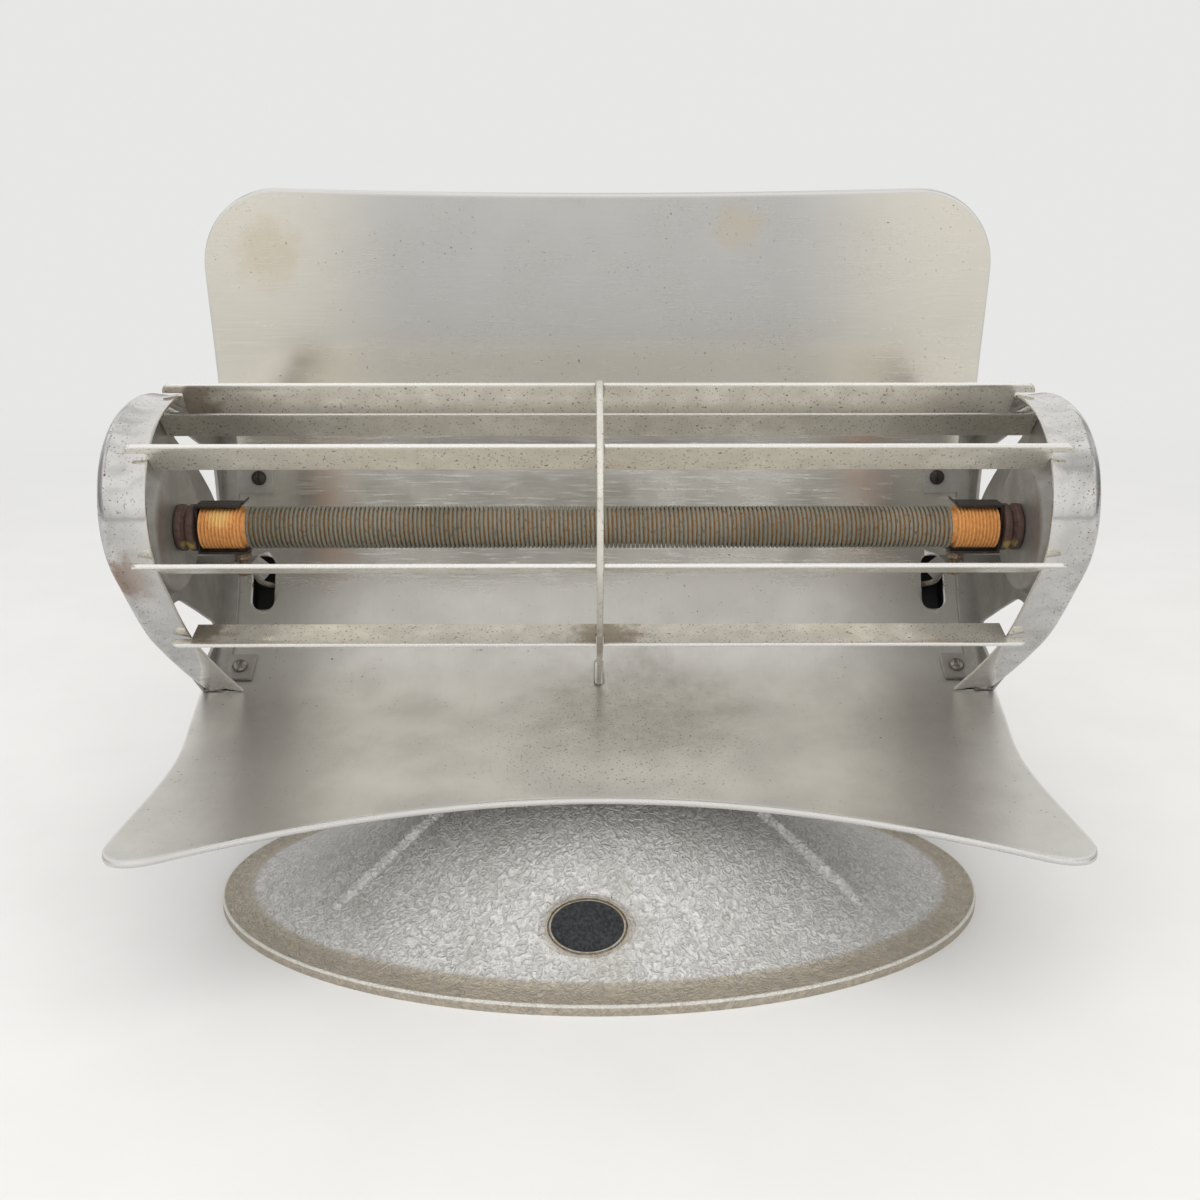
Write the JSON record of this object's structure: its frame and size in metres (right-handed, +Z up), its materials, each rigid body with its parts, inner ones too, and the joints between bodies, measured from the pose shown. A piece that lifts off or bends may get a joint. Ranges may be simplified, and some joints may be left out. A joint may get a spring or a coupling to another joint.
{
  "type": "electric bar heater",
  "caption": "Electric bar heater: bright curved sheet reflector, wound fireclay rod behind a slatted guard, chromed end frames, oval hammered base with a tilt pivot.",
  "frame": {"origin": "the middle of the base's oval, on the surface that the heater stands on", "axes": "+X along the element to the heater's right as seen from the front, +Y to the rear, +Z up; the heater faces -Y"},
  "size_m": [0.335, 0.1958, 0.2719],
  "materials": {
    "hammered_casting": "silver hammered enamel, rubbed brown on the rim and bright on the ribs",
    "bare_badge": "plain dark enamel oval with worn edge",
    "black_plate": "dull black japanned sheet",
    "polished_reflector": "polished sheet, aged, with fine scratches, specks and soot",
    "guard_metal": "bright edges and dull faces, with brown scorch marks",
    "chromed_frame": "bright chrome on the rim, duller in the dished web, with rust specks",
    "fireclay": "bare orange fireclay, matte",
    "wound_wire": "oxidised grey-olive resistance wire",
    "brown_insulator": "dark brown insulator, dusty",
    "blackened_clip": "blackened spring steel",
    "plated_hardware": "dull plated screws and nuts with light rust",
    "plain_sheet": "dull plated sheet steel",
    "bush_rubber": "black rubber",
    "wire_sleeve": "woven heat-proof sleeve, discoloured"
  },
  "bodies": {
    "base": {"base_casting": "hammered_casting", "badge_plate": "bare_badge", "bottom_plate": "black_plate", "bottom_screw_left": "plated_hardware", "bottom_screw_right": "plated_hardware", "friction_washer_left": "plated_hardware", "friction_washer_right": "plated_hardware", "pivot_bolt": "plated_hardware", "pivot_nut": "plated_hardware"},
    "head": {"reflector": "polished_reflector", "tilt_yoke": "plain_sheet", "rear_cover": "plain_sheet", "terminal_block": "brown_insulator", "inlet_bush": "bush_rubber", "element_rod": "fireclay", "heating_winding": "wound_wire", "guard_tie": "guard_metal", "guard_rear_rail": "guard_metal", "guard_blade_top": "guard_metal", "guard_blade_upper": "guard_metal", "guard_blade_lower": "guard_metal", "guard_blade_bottom": "guard_metal", "end_frame_left": "chromed_frame", "end_frame_right": "chromed_frame", "end_cap_left": "brown_insulator", "end_cap_right": "brown_insulator", "element_clip_left": "blackened_clip", "element_clip_right": "blackened_clip", "cap_bolt_left": "plated_hardware", "cap_bolt_right": "plated_hardware", "cap_nut_left": "plated_hardware", "cap_nut_right": "plated_hardware", "terminal_screw_left": "plated_hardware", "terminal_screw_right": "plated_hardware", "terminal_nut_left": "plated_hardware", "terminal_nut_right": "plated_hardware", "terminal_shield_left": "plain_sheet", "terminal_shield_right": "plain_sheet", "lead_left": "wire_sleeve", "lead_right": "wire_sleeve", "cover_screw_left": "plated_hardware", "cover_screw_right": "plated_hardware", "frame_screw_upper_left": "plated_hardware", "frame_screw_upper_right": "plated_hardware", "frame_nut_upper_left": "plated_hardware", "frame_nut_upper_right": "plated_hardware", "frame_screw_lower_left": "plated_hardware", "frame_screw_lower_right": "plated_hardware", "frame_nut_lower_left": "plated_hardware", "frame_nut_lower_right": "plated_hardware"}
  },
  "joints": [
    {"name": "head_tilt", "type": "hinge", "parent": "base", "child": "head", "pos_m": [0, 0.012, 0.0575], "axis": [1, 0, 0], "range_deg": [-20, 12]}
  ]
}
